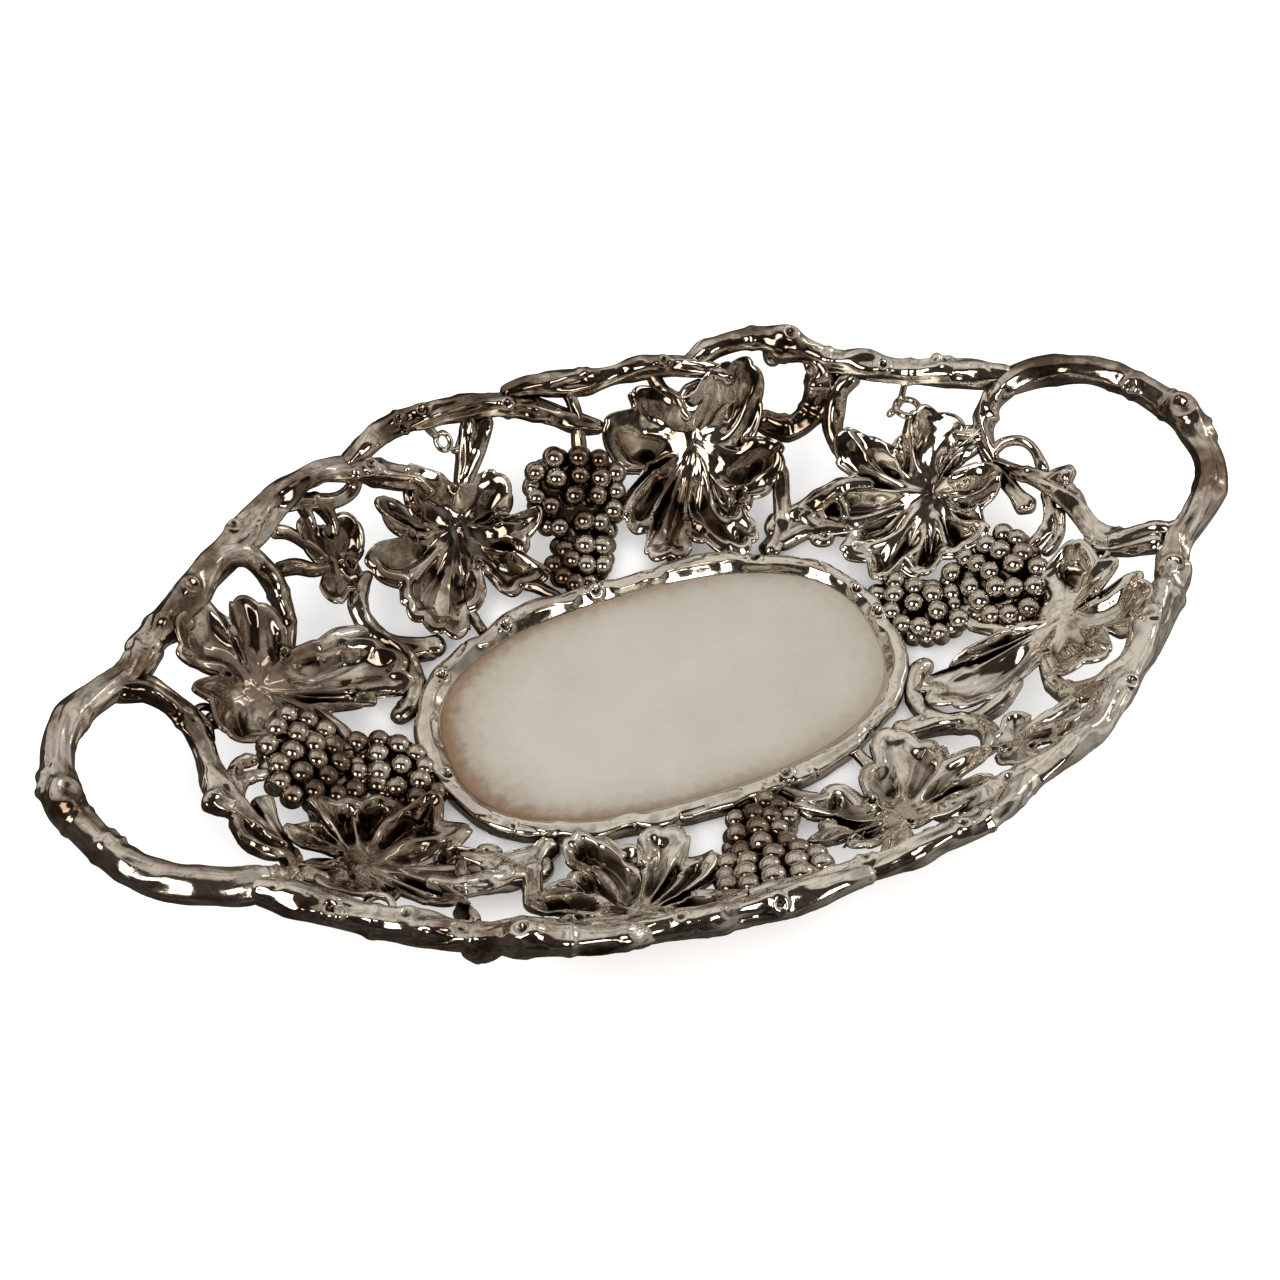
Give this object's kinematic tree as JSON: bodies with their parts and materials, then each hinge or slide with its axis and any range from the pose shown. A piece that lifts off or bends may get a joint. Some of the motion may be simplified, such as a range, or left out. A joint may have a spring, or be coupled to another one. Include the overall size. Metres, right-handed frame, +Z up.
{
  "type": "vanity tray",
  "caption": "Oval openwork dresser tray in cast metal: flat plate in a bark-like ring, grapevine sides with leaves and grapes, and a branch loop handle at each end.",
  "frame": {"origin": "middle of the tray, on the surface that it stands on", "axes": "+X along the tray's length towards one handle, +Z up"},
  "size_m": [0.358, 0.2012, 0.0588],
  "materials": {
    "branch_metal": "polished",
    "leaf_metal": "polished",
    "grape_metal": "polished",
    "plate_metal": "brushed"
  },
  "bodies": {
    "root": {"bark_ring": "branch_metal", "crown_leaf_stem_east": "branch_metal", "crown_leaf_stem_west": "branch_metal", "foot_stem_handle_east": "branch_metal", "foot_stem_handle_west": "branch_metal", "foot_stem_shoulder_east": "branch_metal", "foot_stem_shoulder_west": "branch_metal", "grape_link_twig_east": "branch_metal", "grape_link_twig_west": "branch_metal", "grape_stalk_east": "branch_metal", "grape_stalk_west": "branch_metal", "grapes_crown_east": "grape_metal", "grapes_crown_west": "grape_metal", "grapes_handle_large_east": "grape_metal", "grapes_handle_large_west": "grape_metal", "grapes_handle_small_east": "grape_metal", "grapes_handle_small_west": "grape_metal", "handle_crotch_vine_east": "branch_metal", "handle_crotch_vine_west": "branch_metal", "handle_side_vine_east": "branch_metal", "handle_side_vine_west": "branch_metal", "hook_branch_east": "branch_metal", "hook_branch_west": "branch_metal", "hook_twig_east": "branch_metal", "hook_twig_west": "branch_metal", "leaf_arc_branch_east": "branch_metal", "leaf_arc_branch_west": "branch_metal", "leaf_crown_east": "leaf_metal", "leaf_crown_west": "leaf_metal", "leaf_feed_stem_east": "branch_metal", "leaf_feed_stem_west": "branch_metal", "leaf_handle_east": "leaf_metal", "leaf_handle_west": "leaf_metal", "leaf_middle_east": "leaf_metal", "leaf_middle_west": "leaf_metal", "leaf_shoulder_east": "leaf_metal", "leaf_shoulder_west": "leaf_metal", "leaf_small_east": "leaf_metal", "leaf_small_west": "leaf_metal", "loop_handle_east": "branch_metal", "loop_handle_west": "branch_metal", "middle_leaf_stem_east": "branch_metal", "middle_leaf_stem_west": "branch_metal", "rim_branch_crown_east": "branch_metal", "rim_branch_crown_west": "branch_metal", "rim_branch_handle_east": "branch_metal", "rim_branch_handle_west": "branch_metal", "rim_branch_middle_east": "branch_metal", "rim_branch_middle_west": "branch_metal", "rim_branch_shoulder_east": "branch_metal", "rim_branch_shoulder_west": "branch_metal", "shoulder_arc_branch_east": "branch_metal", "shoulder_arc_branch_west": "branch_metal", "small_leaf_stem_east": "branch_metal", "small_leaf_stem_west": "branch_metal", "tendril_handle_east": "branch_metal", "tendril_handle_west": "branch_metal", "tendril_middle_east": "branch_metal", "tendril_middle_west": "branch_metal", "well_plate": "plate_metal"}
  },
  "joints": []
}
